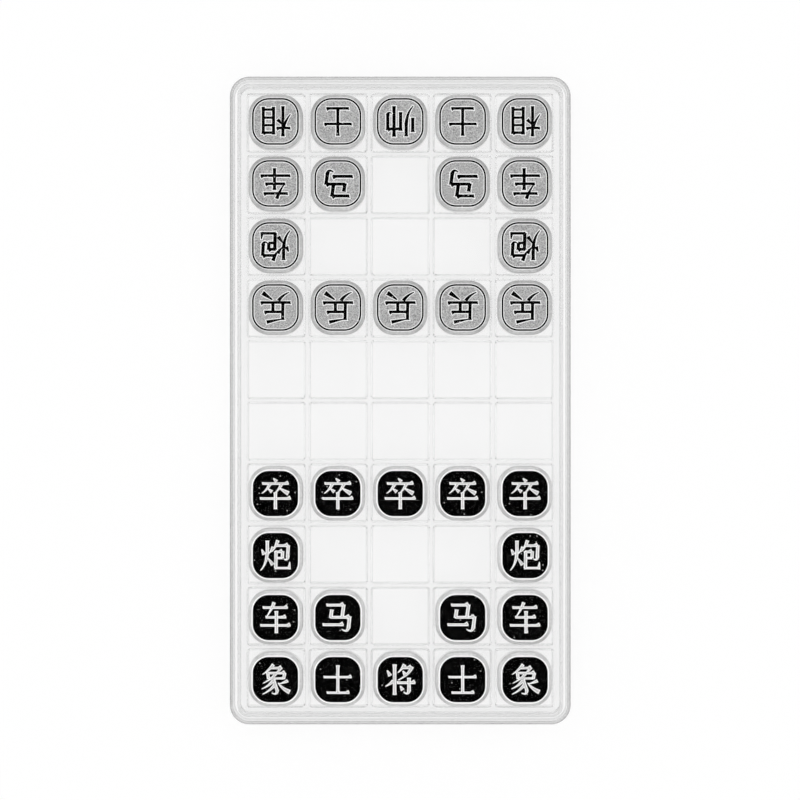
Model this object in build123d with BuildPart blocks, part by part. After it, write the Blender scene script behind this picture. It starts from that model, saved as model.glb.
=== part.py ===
from build123d import *
import math
import os

os.makedirs("parts", exist_ok=True)

# A boxed travel set for the Chinese form of chess: a clear box, a clear cell tray
# and 32 metal pieces. Millimetres. The origin is under the middle of the box,
# +Y points to the light side, +X to the right and +Z up.

# What stands in each cell of the tray, from the light side's end to the dark side's
layout = [
    "elephant adviser general adviser elephant",
    "chariot horse - horse chariot",
    "cannon - - - cannon",
    "soldier soldier soldier soldier soldier",
    "- - - - -",
    "- - - - -",
    "soldier soldier soldier soldier soldier",
    "cannon - - - cannon",
    "chariot horse - horse chariot",
    "elephant adviser general adviser elephant",
]
rows = len(layout)
columns = len(layout[0].split())
light_rows = rows // 2

# Metal pieces
piece_width = 20.9
piece_corner = 7.9
piece_height = 7.0
rim_width = 1.33
rim_drop = 1.0
foot_bevel = 1.0
cut_depth = 0.15
glyph_size = 12.0

# Light side: a thin line is cut round the face
line_width = 0.66
line_inset = 0.12

# Dark side: the ground is sunk and the character and a thin edge stand in it
ground_inset = 0.4

# Cell tray
column_ridge = 2.4
row_ridge = 2.25
cell_depth = 4.6
draft_angle = 2.5
sheet = 0.6
piece_clearance = 0.15
bevel_gap = 0.2
side_margin = 3.6
end_margin = 3.3

# Clear box
floor_thickness = 1.4
rim_wall = 1.2
rim_gap = 0.8
lid_wall = 1.4
lid_top = 1.4
lid_edge_round = 2.0
lid_inner_round = 0.6
lid_corner = 7.5
head_room = 0.6
tray_clearance = 0.3
lid_clearance = 0.25

# Sizes that follow
cell_floor_size = piece_width + 2 * piece_clearance
cell_growth = cell_depth * math.tan(math.radians(draft_angle))
cell_size = cell_floor_size + 2 * cell_growth
floor_bevel = foot_bevel + piece_clearance - math.sqrt(2) * bevel_gap
column_pitch = cell_size + column_ridge
row_pitch = cell_size + row_ridge
tray_width = (columns - 1) * column_pitch + cell_size + 2 * side_margin
tray_length = (rows - 1) * row_pitch + cell_size + 2 * end_margin
well_width = tray_width + 2 * tray_clearance
well_length = tray_length + 2 * tray_clearance
rim_width_outside = well_width + 2 * rim_wall
rim_length_outside = well_length + 2 * rim_wall
lid_width_inside = rim_width_outside + 2 * lid_clearance
lid_length_inside = rim_length_outside + 2 * lid_clearance
lid_width = lid_width_inside + 2 * lid_wall
lid_length = lid_length_inside + 2 * lid_wall
lid_corner_inside = lid_corner - lid_wall
rim_corner_outside = lid_corner_inside - lid_clearance
well_corner = rim_corner_outside - rim_wall
tray_corner = well_corner - tray_clearance

# Heights
cell_floor = floor_thickness + sheet
tray_top = cell_floor + cell_depth
face_height = cell_floor + piece_height
ceiling = face_height + head_room
rim_top = ceiling - rim_gap
box_height = ceiling + lid_top

# Box bottom: a floor plate that stands out as a ledge under the lid, and a rim wall
with BuildPart() as case_base:
    with BuildSketch(Plane.XY):
        RectangleRounded(lid_width, lid_length, lid_corner)
    extrude(amount=floor_thickness)
    with BuildSketch(Plane.XY.offset(floor_thickness)):
        RectangleRounded(rim_width_outside, rim_length_outside, rim_corner_outside)
        RectangleRounded(well_width, well_length, well_corner, mode=Mode.SUBTRACT)
    extrude(amount=rim_top - floor_thickness)
case_base.part.label = "case_base"
export_step(case_base.part, "parts/case_base.step")

# The space inside the lid, rounded where its walls meet the ceiling
with BuildPart() as lid_inside:
    with BuildSketch(Plane.XY.offset(floor_thickness)):
        RectangleRounded(lid_width_inside, lid_length_inside, lid_corner_inside)
    extrude(amount=ceiling - floor_thickness)
    fillet(lid_inside.faces().sort_by(Axis.Z)[-1].edges(), radius=lid_inner_round)

# Lid: a flat top with a rounded edge and a skirt that stands on the ledge
with BuildPart() as case_lid:
    with BuildSketch(Plane.XY.offset(floor_thickness)):
        RectangleRounded(lid_width, lid_length, lid_corner)
    extrude(amount=box_height - floor_thickness)
    fillet(case_lid.faces().sort_by(Axis.Z)[-1].edges(), radius=lid_edge_round)
    add(lid_inside.part, mode=Mode.SUBTRACT)
case_lid.part.label = "case_lid"
export_step(case_lid.part, "parts/case_lid.step")

# One pocket: the space inside a cell, tapered, with a bevel round its floor that runs
# beside the bevel under a piece
with BuildPart() as pocket:
    with BuildSketch(Plane.XY.offset(tray_top)):
        Rectangle(cell_size, cell_size)
    extrude(amount=-cell_depth, taper=draft_angle)
    chamfer(pocket.faces().sort_by(Axis.Z)[0].edges(), length=floor_bevel)

# The same pocket seen from below: the outside of the formed sheet
cup_size = cell_size + 2 * sheet
with BuildPart() as cup:
    with BuildSketch(Plane.XY.offset(tray_top)):
        Rectangle(cup_size, cup_size)
    extrude(amount=floor_thickness - tray_top, taper=draft_angle)

# Tray: a flat sheet with an edge turned down all round, and a pocket in every cell
with BuildPart() as cell_tray:
    with BuildSketch(Plane.XY.offset(floor_thickness)):
        RectangleRounded(tray_width, tray_length, tray_corner)
    extrude(amount=tray_top - floor_thickness)
    with BuildSketch(Plane.XY.offset(floor_thickness)):
        RectangleRounded(tray_width - 2 * sheet, tray_length - 2 * sheet, tray_corner - sheet)
    extrude(amount=tray_top - sheet - floor_thickness, mode=Mode.SUBTRACT)
    with GridLocations(column_pitch, row_pitch, columns, rows):
        add(cup.part)
    with GridLocations(column_pitch, row_pitch, columns, rows):
        add(pocket.part, mode=Mode.SUBTRACT)
cell_tray.part.label = "cell_tray"
export_step(cell_tray.part, "parts/cell_tray.step")

# The characters are drawn stroke by stroke on a square grid of 100 by 100, from its
# lower left corner. A stroke is a kind and the points that its middle runs through.
#   across: a thin bar with a raised wedge at its right end
#   bar:    a thin bar with plain ends
#   down:   an upright with a full head
#   sweep:  starts full and runs out thin
#   press:  starts thin, swells and ends in a foot
#   dot:    a short drop
glyph_grid = 100
characters = {
    "light elephant": [
        ("across", (3, 71), (45, 71)), ("down", (26, 98), (26, 1)),
        ("sweep", (25, 70), (17, 46), (2, 27)), ("dot", (28, 60), (43, 44)),
        ("down", (56, 92), (56, 3)), ("across", (54, 86), (88, 86)), ("down", (89, 90), (89, 3)),
        ("bar", (56, 62), (89, 62)), ("bar", (56, 38), (89, 38)), ("bar", (56, 12), (89, 12)),
    ],
    "light adviser": [
        ("across", (6, 58), (92, 58)), ("down", (50, 96), (50, 8)), ("across", (15, 8), (85, 8)),
    ],
    "light general": [
        ("down", (10, 84), (10, 38)), ("down", (31, 98), (31, 56)), ("sweep", (31, 60), (29, 22), (9, 1)),
        ("down", (49, 80), (49, 20)), ("across", (48, 74), (89, 74)), ("down", (90, 78), (90, 26)),
        ("sweep", (90, 30), (89, 18), (77, 25)), ("down", (70, 99), (70, 1)),
    ],
    "light chariot": [
        ("across", (11, 82), (86, 82)), ("sweep", (46, 99), (36, 72), (21, 52)),
        ("across", (19, 51), (81, 51)), ("across", (3, 25), (96, 25)), ("down", (53, 71), (53, 1)),
    ],
    "light horse": [
        ("across", (14, 90), (67, 90)), ("down", (69, 92), (64, 54)), ("down", (31, 76), (27, 50)),
        ("across", (26, 52), (86, 52)), ("down", (88, 54), (83, 16)), ("sweep", (84, 22), (80, 0), (64, 14)),
        ("across", (3, 27), (65, 27)),
    ],
    "light cannon": [
        ("dot", (8, 70), (15, 54)), ("sweep", (42, 76), (37, 64), (28, 56)), ("down", (24, 97), (24, 55)),
        ("sweep", (24, 60), (22, 22), (3, 2)), ("dot", (26, 42), (41, 22)),
        ("sweep", (58, 99), (50, 76), (38, 62)), ("across", (52, 82), (89, 82)), ("down", (91, 83), (89, 46)),
        ("sweep", (90, 50), (88, 34), (76, 42)), ("across", (51, 62), (71, 62)), ("down", (72, 64), (71, 42)),
        ("bar", (52, 42), (72, 42)), ("down", (52, 64), (51, 10)), ("bar", (49, 11), (94, 11)),
        ("sweep", (92, 8), (94, 18), (95, 30)),
    ],
    "light soldier": [
        ("sweep", (78, 97), (52, 91), (27, 87)), ("down", (27, 90), (26, 35)), ("across", (26, 64), (84, 64)),
        ("down", (58, 64), (58, 35)), ("across", (2, 34), (96, 34)), ("sweep", (40, 28), (28, 10), (6, 1)),
        ("press", (60, 25), (74, 15), (91, 3)),
    ],
    "dark elephant": [
        ("sweep", (44, 99), (30, 80), (8, 66)), ("across", (36, 87), (68, 87)),
        ("sweep", (69, 90), (62, 78), (50, 70)), ("down", (25, 74), (28, 52)),
        ("across", (24, 71), (79, 71)), ("down", (80, 72), (76, 52)), ("bar", (28, 54), (76, 54)),
        ("sweep", (52, 72), (46, 56), (10, 38)), ("sweep", (42, 46), (30, 30), (6, 20)),
        ("sweep", (50, 36), (34, 14), (8, 3)), ("down", (44, 50), (56, 14)),
        ("sweep", (56, 18), (56, -2), (38, 7)), ("sweep", (90, 47), (78, 40), (62, 37)),
        ("press", (58, 40), (72, 20), (96, 10)),
    ],
    "dark adviser": [
        ("across", (5, 58), (92, 58)), ("down", (50, 96), (50, 8)), ("across", (15, 8), (85, 8)),
    ],
    "dark general": [
        ("dot", (8, 80), (18, 62)), ("sweep", (28, 46), (18, 36), (2, 28)), ("down", (32, 99), (32, 1)),
        ("sweep", (64, 99), (56, 84), (42, 72)), ("across", (58, 88), (84, 88)),
        ("sweep", (88, 92), (78, 64), (42, 48)), ("dot", (58, 78), (66, 66)),
        ("across", (40, 40), (96, 40)), ("down", (78, 56), (78, 12)),
        ("sweep", (78, 18), (77, -2), (60, 10)), ("dot", (50, 30), (58, 16)),
    ],
    "dark chariot": [
        ("across", (10, 82), (87, 82)), ("sweep", (46, 99), (36, 72), (21, 52)),
        ("across", (19, 51), (82, 51)), ("across", (2, 25), (96, 25)), ("down", (53, 71), (53, 0)),
    ],
    "dark horse": [
        ("across", (14, 90), (67, 90)), ("down", (69, 92), (64, 53)), ("down", (31, 76), (27, 49)),
        ("across", (26, 51), (86, 51)), ("down", (88, 54), (84, 16)), ("sweep", (85, 24), (82, -2), (62, 13)),
        ("across", (2, 27), (66, 27)),
    ],
    "dark cannon": [
        ("dot", (6, 70), (14, 53)), ("sweep", (43, 78), (38, 66), (28, 56)), ("down", (24, 98), (24, 55)),
        ("sweep", (24, 62), (22, 22), (2, 2)), ("dot", (26, 42), (42, 20)),
        ("sweep", (58, 99), (50, 76), (38, 62)), ("across", (52, 82), (89, 82)), ("down", (91, 83), (89, 46)),
        ("sweep", (90, 50), (89, 30), (76, 40)), ("across", (51, 62), (71, 62)), ("down", (73, 64), (72, 42)),
        ("bar", (52, 42), (73, 42)), ("down", (52, 64), (51, 10)), ("bar", (47, 10), (95, 10)),
        ("sweep", (93, 6), (95, 18), (96, 30)),
    ],
    "dark soldier": [
        ("dot", (43, 99), (54, 88)), ("across", (8, 82), (90, 82)),
        ("sweep", (33, 82), (24, 62), (6, 50)), ("dot", (26, 66), (39, 55)),
        ("sweep", (70, 82), (62, 62), (46, 50)), ("press", (62, 68), (74, 60), (92, 50)),
        ("across", (1, 34), (97, 34)), ("down", (50, 54), (50, 0)),
    ],
}

# Stroke widths on the same grid, and how heavy each character's strokes are beside them
thin_stroke = {"light": 8.6, "dark": 8.8}
full_stroke = {"light": 10.8, "dark": 12.4}
wedge_rise = {"light": 4.5, "dark": 6.5}
stroke_weight = {
    "light elephant": 0.96, "light adviser": 0.95, "light general": 1.04, "light chariot": 1.0,
    "light horse": 1.13, "light cannon": 1.07, "light soldier": 1.0,
    "dark elephant": 0.9, "dark adviser": 0.86, "dark general": 0.98, "dark chariot": 0.91,
    "dark horse": 1.0, "dark cannon": 0.93, "dark soldier": 0.9,
}
curve_steps = 5


def across_outline(start, end, thin, rise):
    """A bar from left to right that ends in a raised wedge"""
    half = thin / 2
    return [
        (start[0] - half * 0.4, start[1] + half * 1.3),
        (start[0], start[1] - half),
        (end[0] + rise * 0.4, end[1] - half),
        (end[0] + rise * 0.5, end[1] + half * 0.3),
        (end[0] - rise * 0.3, end[1] + half + rise),
        (end[0] - rise * 1.7, end[1] + half),
        (start[0] + half * 1.5, start[1] + half),
    ]


def ribbon_outline(points, widths):
    """A band with its own width at each point"""
    left_side = []
    right_side = []
    for index, (x, y) in enumerate(points):
        before = points[max(index - 1, 0)]
        after = points[min(index + 1, len(points) - 1)]
        run = math.dist(before, after)
        across_x = (before[1] - after[1]) / run
        across_y = (after[0] - before[0]) / run
        half = widths[index] / 2
        left_side.append((x + across_x * half, y + across_y * half))
        right_side.append((x - across_x * half, y - across_y * half))
    return left_side + right_side[::-1]


def waisted_outline(start, end, width):
    """A straight band a little fuller at its ends, where the tool went in and out"""
    shares = [0, 0.12, 0.88, 1]
    points = [(start[0] + (end[0] - start[0]) * t, start[1] + (end[1] - start[1]) * t) for t in shares]
    return ribbon_outline(points, [width * 1.2, width * 0.92, width * 0.92, width * 1.08])


def curve_points(points):
    """Points along a curve that leaves the first point towards the second"""
    start, middle, end = points
    result = []
    for step in range(curve_steps + 1):
        t = step / curve_steps
        x = (1 - t) ** 2 * start[0] + 2 * t * (1 - t) * middle[0] + t ** 2 * end[0]
        y = (1 - t) ** 2 * start[1] + 2 * t * (1 - t) * middle[1] + t ** 2 * end[1]
        result.append((x, y))
    return result


def stroke_outline(kind, points, side, weight):
    """The outline of one stroke on the square of 100 by 100"""
    thin = thin_stroke[side] * weight
    full = full_stroke[side] * weight
    if kind == "across":
        return across_outline(points[0], points[1], thin, wedge_rise[side] * weight)
    if kind == "bar":
        return waisted_outline(points[0], points[1], thin)
    if kind == "down":
        return waisted_outline(points[0], points[1], full)
    if kind == "dot":
        return ribbon_outline(points, [full * 0.35, full * 1.15])
    steps = [step / curve_steps for step in range(curve_steps + 1)]
    if kind == "sweep":
        return ribbon_outline(curve_points(points), [full * (1.05 - 0.8 * step) for step in steps])
    return ribbon_outline(curve_points(points), [full * (0.35 + step) for step in steps])


def character_sketch(side, rank):
    """All strokes of one character, centred on the sketch plane's origin"""
    name = side + " " + rank
    scale = glyph_size / glyph_grid
    middle = glyph_grid / 2
    with BuildSketch(Plane.XY, mode=Mode.PRIVATE) as character:
        for kind, *points in characters[name]:
            outline = stroke_outline(kind, points, side, stroke_weight[name])
            placed = [((x - middle) * scale, (y - middle) * scale) for x, y in outline]
            Polygon(*placed, align=None)
    return character.sketch


def make_piece(side, rank):
    """One metal piece over the origin, seen upright, standing on the cell floor"""
    face_width = piece_width - 2 * rim_width
    face_corner = piece_corner - rim_width
    character = character_sketch(side, rank)
    with BuildPart() as piece:
        with BuildSketch(Plane.XY.offset(cell_floor)):
            RectangleRounded(piece_width, piece_width, piece_corner)
        extrude(amount=piece_height)
        chamfer(piece.faces().sort_by(Axis.Z)[0].edges(), length=foot_bevel)
        face = piece.faces().sort_by(Axis.Z)[-1]
        chamfer(face.edges(), length=rim_width, length2=rim_drop, reference=face)
        with BuildSketch(Plane.XY.offset(face_height)):
            if side == "light":
                outside = face_width - 2 * line_inset
                outside_corner = face_corner - line_inset
                inside = outside - 2 * line_width
                RectangleRounded(outside, outside, outside_corner)
                RectangleRounded(inside, inside, outside_corner - line_width, mode=Mode.SUBTRACT)
                add(character)
            else:
                ground = face_width - 2 * ground_inset
                RectangleRounded(ground, ground, face_corner - ground_inset)
                add(character, mode=Mode.SUBTRACT)
        extrude(amount=-cut_depth, mode=Mode.SUBTRACT)
    return piece.part


# Each design is made once and then set out in the cells, the light side turned round
designs = {}
counts = {}
for row, line in enumerate(layout):
    side = "light" if row < light_rows else "dark"
    turn = 180 if side == "light" else 0
    y = ((rows - 1) / 2 - row) * row_pitch
    for column, rank in enumerate(line.split()):
        if rank == "-":
            continue
        x = (column - (columns - 1) / 2) * column_pitch
        key = side + "_" + rank
        if key not in designs:
            designs[key] = make_piece(side, rank)
        counts[key] = counts.get(key, 0) + 1
        name = key if rank == "general" else f"{key}_{counts[key]}"
        placed_piece = designs[key].moved(Location((x, y, 0), (0, 0, turn)))
        placed_piece.label = name
        export_step(placed_piece, f"parts/{name}.step")
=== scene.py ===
import math
import bmesh
import bpy
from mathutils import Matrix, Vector


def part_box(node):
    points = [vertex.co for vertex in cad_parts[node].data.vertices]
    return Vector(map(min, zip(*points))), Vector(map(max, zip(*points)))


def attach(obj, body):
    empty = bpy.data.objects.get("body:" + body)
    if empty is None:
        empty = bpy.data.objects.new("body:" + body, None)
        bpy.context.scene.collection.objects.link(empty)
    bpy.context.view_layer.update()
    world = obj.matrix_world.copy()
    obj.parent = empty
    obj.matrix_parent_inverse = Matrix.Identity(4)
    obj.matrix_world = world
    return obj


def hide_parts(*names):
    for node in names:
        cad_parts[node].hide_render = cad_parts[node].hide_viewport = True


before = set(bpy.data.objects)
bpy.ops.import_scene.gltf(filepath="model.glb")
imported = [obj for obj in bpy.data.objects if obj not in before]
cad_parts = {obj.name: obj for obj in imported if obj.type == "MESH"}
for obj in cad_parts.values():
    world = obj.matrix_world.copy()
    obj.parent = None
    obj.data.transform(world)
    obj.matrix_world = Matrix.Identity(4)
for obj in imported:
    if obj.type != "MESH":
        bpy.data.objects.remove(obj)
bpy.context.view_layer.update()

# A boxed travel set of metal chess pieces, seen straight from above on white paper. Sizes of the
# room are in metres; those of the box, its tray and the pieces are in millimetres.
scene = bpy.context.scene
scene.view_settings.view_transform = "Standard"
millimetre = 0.001


def linearColour(hexColour):
    channels = [int(hexColour[i:i + 2], 16) / 255 for i in (1, 3, 5)]
    return [c / 12.92 if c <= 0.04045 else ((c + 0.055) / 1.055) ** 2.4 for c in channels] + [1.0]


# Adds one shader node, sets its options and socket values and links its inputs
def addNode(tree, kind, settings=None, values=None, links=None):
    node = tree.nodes.new("ShaderNode" + kind)
    for name, value in (settings or {}).items():
        setattr(node, name, value)
    for name, value in (values or {}).items():
        node.inputs[name].default_value = value
    for name, socket in (links or {}).items():
        tree.links.new(socket, node.inputs[name])
    return node


def newMaterial(name):
    material = bpy.data.materials.new(name)
    material.use_nodes = True
    material.node_tree.nodes.clear()
    return material, material.node_tree


# The kinds of ray, and a socket that is 1 for those that reach the eye directly, by way of a mirror
# or through clear plastic
def seenRays(tree):
    rays = addNode(tree, "LightPath")
    direct = addNode(tree, "Math", {"operation": "MAXIMUM"},
                     links={0: rays.outputs["Is Camera Ray"], 1: rays.outputs["Is Glossy Ray"]})
    seen = addNode(tree, "Math", {"operation": "MAXIMUM"},
                   links={0: direct.outputs[0], 1: rays.outputs["Is Transmission Ray"]})
    return rays, seen.outputs[0]


camera = {"height": 0.694, "lens": 80.1, "sensor": 36.0, "aimX": -0.0001, "aimY": 0.0002, "nearest": 0.01}
lens = bpy.data.cameras.new("overheadCamera")
lens.lens = camera["lens"]
lens.sensor_width = camera["sensor"]
lens.clip_start = camera["nearest"]
cameraObject = bpy.data.objects.new("overheadCamera", lens)
cameraObject.location = (camera["aimX"], camera["aimY"], camera["height"])
scene.collection.objects.link(cameraObject)
scene.camera = cameraObject
print("camera in place")

# A white studio: a dark opening straight overhead, where the camera stands, and four white panels
# round the table with a dark gap between each two, for the metal to reflect. The opening isn't seen
# through plastic, to the camera itself the panels and gaps are plain white, and what only lights the
# set is a little weaker.
studio = {"ambient": 0.8, "gapEdge": 0.95, "gapStart": 0.80, "gapLight": 0.03, "panelTop": 0.35,
          "panelLight": 0.9, "cornerGap": 0.45, "cornerLight": 0.05}
world = bpy.data.worlds.new("paleStudio")
scene.world = world
world.use_nodes = True
tree = world.node_tree
tree.nodes.clear()
direction = addNode(tree, "TexCoord")
axes = addNode(tree, "SeparateXYZ", links={0: direction.outputs["Generated"]})
overhead = addNode(tree, "MapRange", {"interpolation_type": "SMOOTHSTEP"},
                   {"From Min": studio["gapStart"], "From Max": studio["gapEdge"],
                    "To Min": 1.0, "To Max": studio["gapLight"]},
                   {"Value": axes.outputs["Z"]})
rays, seen = seenRays(tree)
strength = addNode(tree, "MapRange", None, {"To Min": studio["ambient"], "To Max": 1.0}, {"Value": seen})
opened = addNode(tree, "Math", {"operation": "MAXIMUM"},
                 links={0: overhead.outputs[0], 1: rays.outputs["Is Transmission Ray"]})
sideX = addNode(tree, "Math", {"operation": "ABSOLUTE"}, links={0: axes.outputs["X"]})
sideY = addNode(tree, "Math", {"operation": "ABSOLUTE"}, links={0: axes.outputs["Y"]})
fromCorner = addNode(tree, "Math", {"operation": "SUBTRACT"},
                     links={0: sideX.outputs[0], 1: sideY.outputs[0]})
offCorner = addNode(tree, "Math", {"operation": "ABSOLUTE"}, links={0: fromCorner.outputs[0]})
panel = addNode(tree, "MapRange", {"interpolation_type": "SMOOTHSTEP"},
                {"From Min": 0.0, "From Max": studio["cornerGap"],
                 "To Min": studio["cornerLight"], "To Max": studio["panelLight"]},
                {"Value": offCorner.outputs[0]})
room = addNode(tree, "MapRange", {"interpolation_type": "SMOOTHSTEP"},
               {"From Min": 0.0, "From Max": studio["panelTop"], "To Max": 1.0},
               {"Value": axes.outputs["Z"], "To Min": panel.outputs[0]})
sides = addNode(tree, "Math", {"operation": "MAXIMUM"},
                links={0: room.outputs[0], 1: rays.outputs["Is Camera Ray"]})
wide = addNode(tree, "Math", {"operation": "MULTIPLY"}, links={0: sides.outputs[0], 1: opened.outputs[0]})
level = addNode(tree, "Math", {"operation": "MULTIPLY"},
                links={0: strength.outputs[0], 1: wide.outputs[0]})
background = addNode(tree, "Background", None, {"Color": [1, 1, 1, 1]}, {"Strength": level.outputs[0]})
addNode(tree, "OutputWorld", links={"Surface": background.outputs[0]})

# Four large soft boxes, low in power, one for each side, give the metal its even bright edges
softbox = {"away": 1.03, "height": 0.9, "size": 1.0, "power": 1.5}
for name, towardsX, towardsY in (("leftSoftbox", -1, 0), ("rightSoftbox", 1, 0),
                                 ("farSoftbox", 0, 1), ("nearSoftbox", 0, -1)):
    lamp = bpy.data.lights.new(name, "AREA")
    lamp.shape = "SQUARE"
    lamp.size = softbox["size"]
    lamp.energy = softbox["power"]
    lampObject = bpy.data.objects.new(name, lamp)
    place = Vector((towardsX * softbox["away"], towardsY * softbox["away"], softbox["height"]))
    lampObject.location = place
    lampObject.rotation_euler = (-place).to_track_quat("-Z", "Y").to_euler()
    scene.collection.objects.link(lampObject)
print("studio in place")

# White paper: lit like paper, seen as the white of the photograph with the box's shadow on it
paper = {"half": 3.0, "drop": 0.0003, "colour": "#E6E6E6", "glow": 0.84, "shadeShare": 0.2}
half = paper["half"]
paperMesh = bpy.data.meshes.new("paperFloor")
paperMesh.from_pydata([(-half, -half, 0), (half, -half, 0), (half, half, 0), (-half, half, 0)], [],
                      [(0, 1, 2, 3)])
floor = bpy.data.objects.new("paperFloor", paperMesh)
floor.location.z = -paper["drop"]
scene.collection.objects.link(floor)
material, tree = newMaterial("whitePaperSweep")
rays, seen = seenRays(tree)
lit = addNode(tree, "BsdfDiffuse", None, {"Color": linearColour(paper["colour"])})
shade = addNode(tree, "BsdfDiffuse", None, {"Color": [paper["shadeShare"]] * 3 + [1.0]})
glow = addNode(tree, "Emission", None, {"Strength": paper["glow"]})
white = addNode(tree, "AddShader", links={0: shade.outputs[0], 1: glow.outputs[0]})
mix = addNode(tree, "MixShader", links={0: seen, 1: lit.outputs[0], 2: white.outputs[0]})
addNode(tree, "OutputMaterial", links={"Surface": mix.outputs[0]})
paperMesh.materials.append(material)
print("floor in place")


def unitStep(start, end):
    run = math.dist(start, end)
    return (end[0] - start[0]) / run, (end[1] - start[1]) / run


# The arc that rounds one corner of a path, and how far along each side it reaches
def cornerArc(before, corner, after, radius, steps):
    if radius == 0:
        return [corner], 0.0
    back, ahead = unitStep(corner, before), unitStep(corner, after)
    angle = math.acos(max(-1, min(1, back[0] * ahead[0] + back[1] * ahead[1])))
    cut = radius / math.tan(angle / 2)
    sumX, sumY = back[0] + ahead[0], back[1] + ahead[1]
    reach = radius / math.sin(angle / 2) / math.hypot(sumX, sumY)
    centreX, centreY = corner[0] + sumX * reach, corner[1] + sumY * reach
    startX, startY = corner[0] + back[0] * cut - centreX, corner[1] + back[1] * cut - centreY
    endX, endY = corner[0] + ahead[0] * cut - centreX, corner[1] + ahead[1] * cut - centreY
    turn = math.pi - angle
    arc = []
    for step in range(steps + 1):
        a = math.sin((1 - step / steps) * turn) / math.sin(turn)
        b = math.sin(step / steps * turn) / math.sin(turn)
        arc.append((centreX + startX * a + endX * b, centreY + startY * a + endY * b))
    return arc, cut


# A path through corners, each with its inset, height and radius. On a long side a point stands close
# beside each round, so that the round's shading stays there.
def roundedPath(corners, steps):
    beside = 0.12
    ends = [(inset, z) for inset, z, radius in corners]
    arcs = [([ends[0]], 0.0)]
    for i in range(1, len(ends) - 1):
        arcs.append(cornerArc(ends[i - 1], ends[i], ends[i + 1], corners[i][2], steps))
    arcs.append(([ends[-1]], 0.0))
    path = list(arcs[0][0])
    for i in range(1, len(ends)):
        stepX, stepY = unitStep(ends[i - 1], ends[i])
        cutLast, cutNext = arcs[i - 1][1], arcs[i][1]
        if math.dist(ends[i - 1], ends[i]) - cutLast - cutNext > 3 * beside:
            if cutLast > 0:
                away = cutLast + beside
                path.append((ends[i - 1][0] + stepX * away, ends[i - 1][1] + stepY * away))
            if cutNext > 0:
                away = cutNext + beside
                path.append((ends[i][0] - stepX * away, ends[i][1] - stepY * away))
        path.extend(arcs[i][0])
    return path


def roundedLoop(halfX, halfY, radius, steps):
    loop = []
    for signX, signY, startTurn in ((1, 1, 0), (-1, 1, 90), (-1, -1, 180), (1, -1, 270)):
        for step in range(steps + 1):
            turn = math.radians(startTurn + 90 * step / steps)
            loop.append((signX * (halfX - radius) + radius * math.cos(turn),
                         signY * (halfY - radius) + radius * math.sin(turn)))
    return loop


def addLoop(form, points, z, x=0.0, y=0.0):
    return [form.verts.new(Vector((x + px, y + py, z)) * millimetre) for px, py in points]


def joinLoops(form, outer, inner, finish=0):
    for i in range(len(outer)):
        form.faces.new((outer[i - 1], outer[i], inner[i], inner[i - 1])).material_index = finish


def finishMesh(name, form, smooth=True):
    bmesh.ops.recalc_face_normals(form, faces=form.faces)
    for face in form.faces:
        face.smooth = smooth
    mesh = bpy.data.meshes.new(name)
    form.to_mesh(mesh)
    form.free()
    return mesh


# A rounded rectangle carried along a path of insets and heights; finishAt picks each band's material
def loftedMesh(name, width, length, corner, path, steps, finishAt):
    leastCorner = 0.1
    form = bmesh.new()
    loops = []
    for inset, z in path:
        radius = max(corner - inset, leastCorner)
        outline = roundedLoop(width / 2 - inset, length / 2 - inset, radius, steps)
        loops.append(addLoop(form, outline, z))
    for i in range(len(loops) - 1):
        inset, z = (path[i][0] + path[i + 1][0]) / 2, (path[i][1] + path[i + 1][1]) / 2
        joinLoops(form, loops[i], loops[i + 1], finishAt(inset, z))
    form.faces.new(loops[0])
    form.faces.new(loops[-1])
    return finishMesh(name, form)


def addPiece(name, mesh, materials, body, node=None, place=(0, 0, 0)):
    piece = bpy.data.objects.new(name, mesh)
    piece.location = place
    scene.collection.objects.link(piece)
    if not mesh.materials:
        for material in materials:
            mesh.materials.append(material)
    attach(piece, body)
    if node:
        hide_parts(node)
    return piece


# Clear plastic: refraction and reflection by angle, a slow ripple from moulding, light passed on to
# what lies below. The reflection straight on is set lower than real, as the photograph shows none.
def clearPlastic(name, look):
    material, tree = newMaterial(name)
    rays = addNode(tree, "LightPath")
    passing = addNode(tree, "Math", {"operation": "MAXIMUM"},
                      links={0: rays.outputs["Is Shadow Ray"], 1: rays.outputs["Is Diffuse Ray"]})
    place = addNode(tree, "TexCoord")
    ripple = addNode(tree, "TexNoise", None, {"Scale": 1 / (look["ripple"] * millimetre), "Detail": 1.0},
                     {"Vector": place.outputs["Object"]})
    bump = addNode(tree, "Bump", None, {"Strength": 1.0, "Distance": look["rippleDepth"] * millimetre},
                   {"Height": ripple.outputs["Fac"]})
    bent = addNode(tree, "BsdfRefraction", None,
                   {"Color": linearColour(look["tint"]), "Roughness": look["rough"], "IOR": look["ior"]},
                   {"Normal": bump.outputs[0]})
    shine = addNode(tree, "BsdfGlossy", None,
                    {"Color": linearColour(look["mirrored"]), "Roughness": look["rough"]},
                    {"Normal": bump.outputs[0]})
    fresnel = addNode(tree, "Fresnel", None, {"IOR": look["ior"]}, {"Normal": bump.outputs[0]})
    share = addNode(tree, "Math", {"operation": "POWER"}, {1: look["falloff"]}, {0: fresnel.outputs[0]})
    plastic = addNode(tree, "MixShader",
                      links={0: share.outputs[0], 1: bent.outputs[0], 2: shine.outputs[0]})
    clear = addNode(tree, "BsdfTransparent", None, {"Color": linearColour(look["passed"])})
    mix = addNode(tree, "MixShader",
                  links={0: passing.outputs[0], 1: plastic.outputs[0], 2: clear.outputs[0]})
    addNode(tree, "OutputMaterial", links={"Surface": mix.outputs[0]})
    return material


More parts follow.
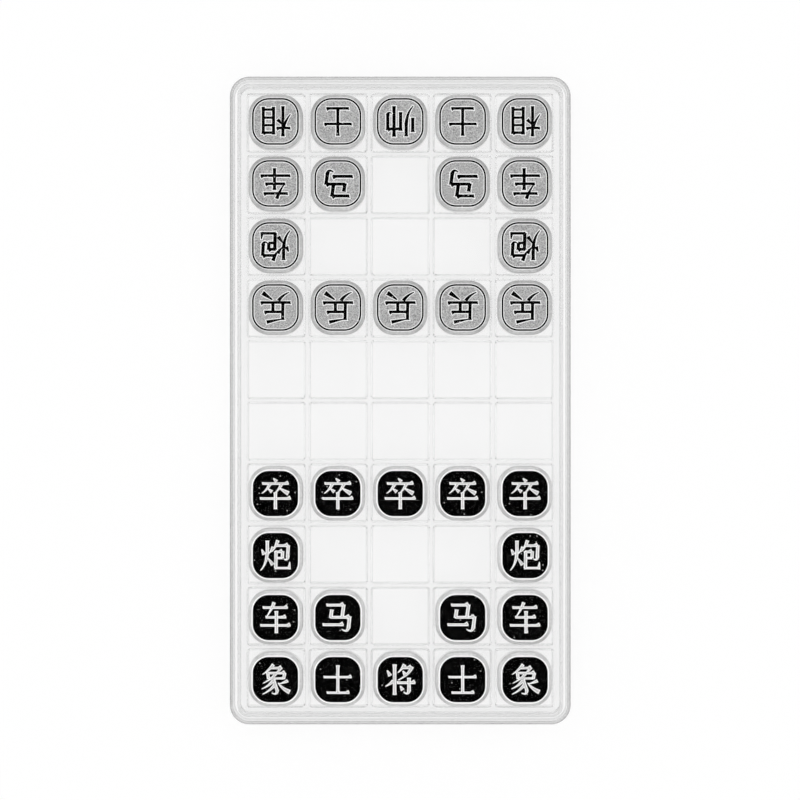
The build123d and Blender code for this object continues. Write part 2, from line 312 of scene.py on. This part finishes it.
# Crystal polystyrene, injection moulded and polished: hard and glassy, its top is nearly invisible
polished = {"ior": 1.55, "tint": "#FFFFFF", "passed": "#FAFAFA", "mirrored": "#FFFFFF", "rough": 0.0,
            "falloff": 2.0, "ripple": 14.0, "rippleDepth": 0.01}
polystyrene = clearPlastic("mouldedPolystyrene", polished)
# The same plastic on the upright walls, drawn from the mould: faintly satin, with its passed and mirrored
# light dimmed as painted shade, so the box's edge is grey
satin = {**polished, "tint": "#FBFBFB", "rough": 0.15, "mirrored": "#E8E8E8"}
drawnWallPaintedShade = clearPlastic("mouldDrawnPolystyrenePaintedShade", satin)
# The same plastic on the rim's inner face, drawn weaker than real: the photograph shows no line there
innerFace = clearPlastic("innerRimPolystyrene", {**polished, "ior": 1.15})
# PET sheet, vacuum formed: thin and nearly invisible, its cells show as faint lines
stretched = {"ior": 1.5, "tint": "#FDFDFD", "passed": "#FAFAFA", "mirrored": "#FFFFFF", "rough": 0.0,
             "falloff": 2.0, "ripple": 6.0, "rippleDepth": 0.02}
petSheet = clearPlastic("formedPetSheet", stretched)
# The same sheet between the pockets and at its two ends, tinted a little greyer there
petRidge = clearPlastic("ridgedPetSheet", {**stretched, "tint": "#FBFBFB"})
petEnd = clearPlastic("endPetSheet", {**stretched, "tint": "#F9F9F9"})
# The same sheet on the pocket walls, drawn down the mould: tinted a little grey as painted shade, so their
# edges show
petWallPaintedShade = clearPlastic("drawnPetSheetPaintedShade", {**stretched, "tint": "#F7F7F7"})


# The lowest and highest corner of one solid of the frame
def boxOf(name):
    return [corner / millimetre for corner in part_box(name)]


lidLow, lidHigh = boxOf("case_lid")
baseHigh = boxOf("case_base")[1]
trayHigh = boxOf("cell_tray")[1]
boxWidth, boxLength = 2 * lidHigh.x, 2 * lidHigh.y
ledgeTop = lidLow.z

# The bottom: a floor plate with a ledge, and a rim wall. The slit keeps it clear of the lid and tray.
# Satin, dimmed with painted shade, goes as far in as satinReach, and the rim's inner face has a finish of
# its own.
base = {"corner": 7.5, "ledge": 1.65, "rimWall": 1.2, "slit": 0.02, "middle": 8.0, "floorEdge": 0.3,
        "ledgeEdge": 0.25, "rimFoot": 0.1, "rimEdge": 0.05, "satinReach": 2.1, "faceReach": 0.15,
        "edgeSteps": 5, "cornerSteps": 14}
plateTop = ledgeTop - base["slit"]
rimInside = base["ledge"] + base["rimWall"]
profile = roundedPath([(base["middle"], 0, 0),
                       (0, 0, base["floorEdge"]),
                       (0, plateTop, base["ledgeEdge"]),
                       (base["ledge"], plateTop, base["rimFoot"]),
                       (base["ledge"], baseHigh.z, base["rimEdge"]),
                       (rimInside, baseHigh.z, base["rimEdge"]),
                       (rimInside, plateTop, base["rimFoot"]),
                       (base["middle"], plateTop, 0)], base["edgeSteps"])


# Which plastic a band of the lid shows: 0 polished, 1 satin with painted shade
def lidBand(inset, z):
    return int(inset < base["satinReach"])


# The same for the bottom, with 2 for the rim's inner face
def baseBand(inset, z):
    if z < base["floorEdge"]:
        return 0
    return 2 if abs(inset - rimInside) < base["faceReach"] else lidBand(inset, z)


mesh = loftedMesh("clearBase", boxWidth, boxLength, base["corner"], profile, base["cornerSteps"], baseBand)
addPiece("clearBase", mesh, [polystyrene, drawnWallPaintedShade, innerFace], "base", "case_base")

# The lid: a flat top with a rounded edge, and a skirt that goes over the rim
lid = {"wall": 1.4, "top": 1.4, "topEdge": 2.0, "innerEdge": 0.6, "skirtEdge": 0.05, "edgeSteps": 8}
ceiling = lidHigh.z - lid["top"]
skirtLow = ledgeTop + base["slit"]
profile = roundedPath([(base["middle"], lidHigh.z, 0),
                       (0, lidHigh.z, lid["topEdge"]),
                       (0, skirtLow, lid["skirtEdge"]),
                       (lid["wall"], skirtLow, lid["skirtEdge"]),
                       (lid["wall"], ceiling, lid["innerEdge"]),
                       (base["middle"], ceiling, 0)], lid["edgeSteps"])
mesh = loftedMesh("clearLid", boxWidth, boxLength, base["corner"], profile, base["cornerSteps"], lidBand)
addPiece("clearLid", mesh, [polystyrene, drawnWallPaintedShade], "lid", "case_lid")
print("base and lid made")


def centreOf(name):
    low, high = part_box(name)
    return (low + high) / 2 / millimetre


# The tray: a sheet with 5 by 10 pockets; the pitch is that of the pieces that stand in them. The seam
# is what a pocket's own rim leaves of the ridge, and the hem ends just above the box's ledge.
tray = {"columns": 5, "rows": 10, "columnRidge": 2.4, "seam": 0.15, "sheet": 0.6, "floor": 2.0,
        "bevel": 0.867, "draft": 2.5, "edgeRound": 0.7, "bevelRound": 0.5, "floorStart": 2.2,
        "roundSteps": 4, "cellCorner": 0.6, "leastCorner": 0.4, "cellSteps": 3,
        "corner": 4.35, "margin": 1.15, "hem": 0.1, "hemRound": 0.3, "hemSteps": 5, "cornerSteps": 10,
        "flatWithin": 0.01, "steepBelow": 0.5}
pitchX = centreOf("light_adviser_1").x - centreOf("light_elephant_1").x
pitchY = centreOf("light_elephant_1").y - centreOf("light_chariot_1").y
cell = pitchX - tray["columnRidge"]
ridge = tray["columnRidge"] / 2 - tray["seam"]
deep = trayHigh.z - tray["floor"]
growth = math.tan(math.radians(tray["draft"]))
bevelTop = tray["floor"] + tray["bevel"]
cellPath = roundedPath([(-ridge, trayHigh.z, 0),
                        (0, trayHigh.z, tray["edgeRound"]),
                        ((deep - tray["bevel"]) * growth, bevelTop, tray["bevelRound"]),
                        (deep * growth + tray["bevel"], tray["floor"], tray["bevelRound"]),
                        (tray["floorStart"], tray["floor"], 0)], tray["roundSteps"])
form = bmesh.new()
quarters = [(1, 1), (-1, 1), (-1, -1), (1, -1)]
grid = {}


# The corner points of the tiles are shared, so that the sheet is one surface
def gridVert(column, row):
    if (column, row) not in grid:
        x = (column - tray["columns"] / 2) * pitchX
        y = (row - tray["rows"] / 2) * pitchY
        grid[column, row] = form.verts.new(Vector((x, y, trayHigh.z)) * millimetre)
    return grid[column, row]


# One pocket, and the flat tile between its rim and the corner points
def addCell(column, row):
    x = (column + 0.5 - tray["columns"] / 2) * pitchX
    y = (row + 0.5 - tray["rows"] / 2) * pitchY
    loops = []
    for inset, z in cellPath:
        halfCell = cell / 2 - inset
        radius = max(tray["cellCorner"] - inset, tray["leastCorner"])
        loops.append(addLoop(form, roundedLoop(halfCell, halfCell, radius, tray["cellSteps"]), z, x, y))
    for outer, inner in zip(loops, loops[1:]):
        joinLoops(form, outer, inner)
    form.faces.new(loops[-1])
    points = tray["cellSteps"] + 1
    rim = loops[0]
    tile = [gridVert(column + (signX + 1) // 2, row + (signY + 1) // 2) for signX, signY in quarters]
    for i in range(4):
        arc = rim[points * i:points * (i + 1)]
        for a, b in zip(arc, arc[1:]):
            form.faces.new((tile[i], a, b))
        form.faces.new((tile[i], arc[-1], rim[points * (i + 1) % len(rim)], tile[(i + 1) % 4]))


for row in range(tray["rows"]):
    for column in range(tray["columns"]):
        addCell(column, row)

# The tray's outer edge, turned down, and the flat border between it and the outermost tiles
edgePath = roundedPath([(tray["margin"], trayHigh.z, 0),
                        (0, trayHigh.z, tray["hemRound"]),
                        (0, ledgeTop + tray["hem"], 0)], tray["hemSteps"])
loops = []
for inset, z in edgePath:
    outline = roundedLoop(trayHigh.x - inset, trayHigh.y - inset, tray["corner"] - inset,
                          tray["cornerSteps"])
    loops.append(addLoop(form, outline, z))
for outer, inner in zip(loops, loops[1:]):
    joinLoops(form, outer, inner)
points = tray["cornerSteps"] + 1
for i, (signX, signY) in enumerate(quarters):
    nextX, nextY = quarters[(i + 1) % 4]
    arc = loops[0][points * i:points * (i + 1)]
    count = tray["columns"] if nextY == signY else tray["rows"]
    border = []
    for k in range(count + 1):
        column = (signX + 1) / 2 + (nextX - signX) / 2 * k / count
        row = (signY + 1) / 2 + (nextY - signY) / 2 * k / count
        border.append(gridVert(round(column * tray["columns"]), round(row * tray["rows"])))
    for a, b in zip(arc, arc[1:]):
        form.faces.new((border[0], a, b))
    form.faces.new([arc[-1], loops[0][points * (i + 1) % len(loops[0])]] + border[::-1])

# Flat on top: 1 between the pockets, 2 at the two ends. 3 on the pocket walls, grey with painted shade, and
# 0 elsewhere.
lastRidge = ((tray["rows"] - 1) / 2 * pitchY + cell / 2) * millimetre
gridX, gridY = tray["columns"] / 2 * pitchX * millimetre, tray["rows"] / 2 * pitchY * millimetre
flatFrom = (trayHigh.z - tray["flatWithin"]) * millimetre
form.normal_update()
for face in form.faces:
    middle = face.calc_center_median()
    if min(vert.co.z for vert in face.verts) > flatFrom:
        face.material_index = 2 if abs(middle.y) > lastRidge else 1
    elif abs(face.normal.z) < tray["steepBelow"] and abs(middle.x) < gridX and abs(middle.y) < gridY:
        face.material_index = 3
trayPiece = addPiece("clearTray", finishMesh("clearTray", form), [petSheet, petRidge, petEnd, petWallPaintedShade],
                     "tray", "cell_tray")
thickness = trayPiece.modifiers.new("sheetThickness", "SOLIDIFY")
thickness.thickness = tray["sheet"] * millimetre
thickness.offset = -1
thickness.use_even_offset = True
print("tray made")


# Bare aluminium with a grain in its colour and its surface. The grain is drawn about three times
# coarser than the real one, which a picture of this size can't show.
def bareMetal(name, look):
    material, tree = newMaterial(name)
    place = addNode(tree, "TexCoord")
    pieceInfo = addNode(tree, "ObjectInfo")
    shift = addNode(tree, "VectorMath", {"operation": "ADD"},
                    links={0: place.outputs["Object"], 1: pieceInfo.outputs["Random"]})
    grain = addNode(tree, "TexNoise", None, {"Scale": 1 / (look["grain"] * millimetre), "Detail": 2.0},
                    {"Vector": shift.outputs[0]})
    tone = addNode(tree, "MapRange", None,
                   {"From Min": look["grainLow"], "From Max": look["grainHigh"],
                    "To Min": 1 - look["contrast"], "To Max": 1 + look["contrast"]},
                   {"Value": grain.outputs["Fac"]})
    colour = addNode(tree, "Mix", {"data_type": "RGBA", "blend_type": "MULTIPLY"},
                     {"Factor": 1.0, "A": linearColour(look["bare"])}, {"B": tone.outputs[0]})
    bump = addNode(tree, "Bump", None, {"Strength": look["relief"], "Distance": look["depth"] * millimetre},
                   {"Height": grain.outputs["Fac"]})
    metal = addNode(tree, "BsdfPrincipled", None, {"Metallic": 1.0, "Roughness": look["rough"]},
                    {"Base Color": colour.outputs["Result"], "Normal": bump.outputs[0]})
    addNode(tree, "OutputMaterial", links={"Surface": metal.outputs[0]})
    return material


# Baked black enamel, wiped flush: nearly no shine, with fine dust, a few specks and short scratches.
# Each mark is a spot in some of the cells of a pattern, and the brightest one shows.
def blackEnamel(name, look, marks):
    material, tree = newMaterial(name)
    place = addNode(tree, "TexCoord")
    pieceInfo = addNode(tree, "ObjectInfo")
    offset = addNode(tree, "Math", {"operation": "MULTIPLY"}, {1: look["shift"]},
                     {0: pieceInfo.outputs["Random"]})
    shift = addNode(tree, "VectorMath", {"operation": "ADD"},
                    links={0: place.outputs["Object"], 1: offset.outputs[0]})
    clean = addNode(tree, "Value")
    clean.outputs[0].default_value = 0.0
    worn = clean.outputs[0]
    for mark in marks:
        turned = addNode(tree, "Mapping", None,
                         {"Rotation": (0, 0, math.radians(mark["turn"])), "Scale": (mark["stretch"], 1, 1)},
                         {"Vector": shift.outputs[0]})
        cells = addNode(tree, "TexVoronoi", {"voronoi_dimensions": "2D"},
                        {"Scale": 1 / (mark["spacing"] * millimetre)}, {"Vector": turned.outputs[0]})
        near = addNode(tree, "MapRange", None,
                       {"From Min": mark["radius"], "From Max": mark["radius"] * look["solidCore"]},
                       {"Value": cells.outputs["Distance"]})
        chosen = addNode(tree, "Math", {"operation": "GREATER_THAN"}, {1: mark["rarity"]},
                         {0: cells.outputs["Color"]})
        spot = addNode(tree, "Math", {"operation": "MULTIPLY"},
                       links={0: near.outputs[0], 1: chosen.outputs[0]})
        faded = addNode(tree, "Math", {"operation": "MULTIPLY"}, {1: mark["strength"]},
                        {0: spot.outputs[0]})
        brightest = addNode(tree, "Math", {"operation": "MAXIMUM"}, links={0: faded.outputs[0], 1: worn})
        worn = brightest.outputs[0]
    colour = addNode(tree, "Mix", {"data_type": "RGBA"},
                     {"A": linearColour(look["black"]), "B": linearColour(look["dust"])}, {"Factor": worn})
    enamel = addNode(tree, "BsdfPrincipled", None,
                     {"Roughness": look["rough"], "Specular IOR Level": look["specular"]},
                     {"Base Color": colour.outputs["Result"]})
    addNode(tree, "OutputMaterial", links={"Surface": enamel.outputs[0]})
    return material


# What all the aluminium shares: how deep its grain is, and where the grain's noise is dark and pale
aluminium = {"relief": 0.3, "depth": 0.03, "grainLow": 0.3, "grainHigh": 0.7}
# Aluminium face, blasted with fine beads and left grey: dull and even, with a sandy grain
blastedFace = bareMetal("beadBlastedAluminium",
                        {**aluminium, "bare": "#ACACAC", "rough": 0.45, "grain": 0.45, "contrast": 0.5})
# Aluminium face, planed before it was painted: the paler metal of the raised characters
planedFace = bareMetal("planedAluminium",
                       {**aluminium, "bare": "#CACACA", "rough": 0.4, "grain": 0.6, "contrast": 0.15})
# Aluminium rims, milled: paler than the blasted face and a little sharper, the dark side's palest
milled = {**aluminium, "rough": 0.35, "grain": 0.8}
milledRim = {"light": bareMetal("milledAluminium", {**milled, "bare": "#C4C4C4", "contrast": 0.12}),
             "dark": bareMetal("fineMilledAluminium", {**milled, "bare": "#D4D4D4", "contrast": 0.1})}
# Aluminium that the cutter burnished, painted paler still as a highlight: the thin bright line round the
# face, and the characters' burrs
burnishedPaintedHighlight = bareMetal("burnishedAluminiumPaintedHighlight",
                          {**aluminium, "bare": "#FAFAFA", "rough": 0.3, "grain": 0.8, "contrast": 0.04})
# Aluminium sides, extruded: bright, with a faint uneven sheen
drawnSide = bareMetal("extrudedAluminium",
                      {**aluminium, "bare": "#EAEAEA", "rough": 0.28, "grain": 1.6, "contrast": 0.06})
# The enamel's marks: haze, dust, specks and short slanting scratches. A spacing is in millimetres and
# a radius is a share of it; a higher rarity leaves more of the pattern clean.
speckMarks = [
    {"stretch": 1.0, "turn": 0, "spacing": 0.9, "radius": 0.4, "rarity": 0.6, "strength": 0.004},
    {"stretch": 1.0, "turn": 0, "spacing": 0.8, "radius": 0.22, "rarity": 0.71, "strength": 0.18},
    {"stretch": 1.0, "turn": 0, "spacing": 2.2, "radius": 0.13, "rarity": 0.82, "strength": 1.0},
    {"stretch": 0.2, "turn": 35, "spacing": 3.0, "radius": 0.04, "rarity": 0.82, "strength": 0.4}]
enamel = blackEnamel("bakedBlackEnamel",
                     {"black": "#000000", "dust": "#B8B8B8", "rough": 0.5, "specular": 0.008,
                      "shift": 0.5, "solidCore": 0.6}, speckMarks)

# One piece: a block with a sloping rim and a bevelled foot, lifted a hair off the tray. The bright
# band, a painted highlight, is inside the enamel line on the light side, and inside the rim on the dark
# side.
piece = {"width": 20.9, "corner": 7.9, "rim": 1.33, "rimDrop": 1.0, "foot": 1.0, "edgeRound": 0.3,
         "middle": 6, "lift": 0.01, "line": 0.66, "lineInset": 0.12, "lineGap": 0.01,
         "lightBand": 0.25, "darkBand": 0.4, "rimDepth": 0.1, "faceDepth": 0.06,
         "roundSteps": 4, "cornerSteps": 12}
pieceLow, pieceHigh = boxOf("light_general")
lineEnd = piece["rim"] + piece["lineInset"] + piece["line"]
bright = {"light": (lineEnd, lineEnd + piece["lightBand"]),
          "dark": (piece["rim"], piece["rim"] + piece["darkBand"])}
faceFinish = {"light": blastedFace, "dark": planedFace}


# Which metal a band of the block shows: 0 face, 1 rim, 2 burnished edge with a painted highlight, 3 sides
def blockBand(side):
    start, end = bright[side]

    def finishAt(inset, z):
        if z < pieceHigh.z - piece["rimDrop"] - piece["rimDepth"]:
            return 3
        if z < pieceHigh.z - piece["faceDepth"]:
            return 1
        onEdge = inset < piece["rim"] + piece["lineInset"]
        return 2 if onEdge or start < inset < end else 0
    return finishAt


blocks = {}
for side in ("light", "dark"):
    start, end = bright[side]
    top, under = pieceHigh.z, pieceLow.z + piece["lift"]
    face = [(piece["middle"], top, 0), (end, top, 0)]
    if side == "light":
        face.append((start + piece["lineGap"], top, 0))
    path = roundedPath(face + [(piece["rim"], top, piece["edgeRound"]),
                               (0, top - piece["rimDrop"], piece["edgeRound"]),
                               (0, pieceLow.z + piece["foot"], piece["edgeRound"]),
                               (piece["foot"], under, piece["edgeRound"]),
                               (piece["middle"], under, 0)], piece["roundSteps"])
    blocks[side] = loftedMesh(side + "Block", piece["width"], piece["width"], piece["corner"], path,
                              piece["cornerSteps"], blockBand(side))

# The enamel and the burr beside it. A character lies within the field from the piece's middle, and
# weld and straight say which points of the cut floor are one or aren't needed.
inlay = {"cut": 0.15, "cutWithin": 0.01, "proud": 0.006, "skin": 0.05, "field": 6.4, "ridge": 0.4,
         "ridgeHeight": 0.08, "leastMitre": 0.7, "weld": 0.001, "straight": 0.01}


# A burr left by the cutter: a low ridge on the metal, all along the edge of the enamel of a character
def burrMesh(name, form):
    burr = bmesh.new()
    foot = (pieceHigh.z - inlay["skin"]) * millimetre
    crest = (pieceHigh.z + inlay["ridgeHeight"]) * millimetre
    rings = {}
    for vert in form.verts:
        edges = [edge for edge in vert.link_edges if edge.is_boundary]
        if len(edges) != 2 or max(abs(vert.co.x), abs(vert.co.y)) > inlay["field"] * millimetre:
            continue
        away = Vector((0, 0, 0))
        for edge in edges:
            loop = edge.link_loops[0]
            along = (loop.link_loop_next.vert.co - loop.vert.co).normalized() * loop.face.normal.z
            away += Vector((along.y, -along.x, 0))
        away *= inlay["ridge"] * millimetre / max(away.length_squared / 2, inlay["leastMitre"])
        rings[vert] = [burr.verts.new((vert.co.x + away.x * share, vert.co.y + away.y * share, z))
                       for share, z in ((0, foot), (0.5, crest), (1, foot))]
    for edge in form.edges:
        if edge.is_boundary and edge.verts[0] in rings and edge.verts[1] in rings:
            start, end = rings[edge.verts[0]], rings[edge.verts[1]]
            for i in range(3):
                burr.faces.new((start[i - 1], start[i], end[i], end[i - 1]))
    return finishMesh(name, burr, smooth=False)


# The enamel of one piece: the sunk floors of the CAD solid, raised to the face as a thin skin.
# The burr follows its edge.
def inlayMeshes(name, node, centre):
    form = bmesh.new()
    form.from_mesh(node.data)
    low, high = [(pieceHigh.z - inlay["cut"] + give) * millimetre
                 for give in (-inlay["cutWithin"], inlay["cutWithin"])]
    others = [face for face in form.faces if not all(low < vert.co.z < high for vert in face.verts)]
    bmesh.ops.delete(form, geom=others, context="FACES")
    bmesh.ops.remove_doubles(form, verts=form.verts, dist=inlay["weld"] * millimetre)
    bmesh.ops.dissolve_limit(form, angle_limit=inlay["straight"], verts=form.verts, edges=form.edges)
    top = (pieceHigh.z + inlay["proud"]) * millimetre
    for vert in form.verts:
        vert.co = Vector((vert.co.x - centre.x, vert.co.y - centre.y, top))
    burr = burrMesh(name + "_burr", form)
    made = bmesh.ops.extrude_face_region(form, geom=form.faces[:])
    for item in made["geom"]:
        if isinstance(item, bmesh.types.BMVert):
            item.co.z -= inlay["skin"] * millimetre
    return finishMesh(name + "_enamel", form, smooth=False), burr


for name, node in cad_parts.items():
    side = name.split("_")[0]
    if side not in blocks:
        continue
    centre = centreOf(name) * millimetre
    place = (centre.x, centre.y, 0)
    metals = [faceFinish[side], milledRim[side], burnishedPaintedHighlight, drawnSide]
    addPiece(name + "_block", blocks[side], metals, name, name, place)
    enamelMesh, burr = inlayMeshes(name, node, centre)
    addPiece(name + "_enamel", enamelMesh, [enamel], name, place=place)
    # The burr's pale metal is a painted highlight all along the characters' edges
    addPiece(name + "_burr", burr, [burnishedPaintedHighlight], name, place=place)
print("pieces made")

# Light crosses many walls of clear plastic on its way to the pieces and back
bounces = {"solid": 32, "transparent": 48}
scene.cycles.max_bounces = bounces["solid"]
scene.cycles.glossy_bounces = bounces["solid"]
scene.cycles.transmission_bounces = bounces["solid"]
scene.cycles.transparent_max_bounces = bounces["transparent"]
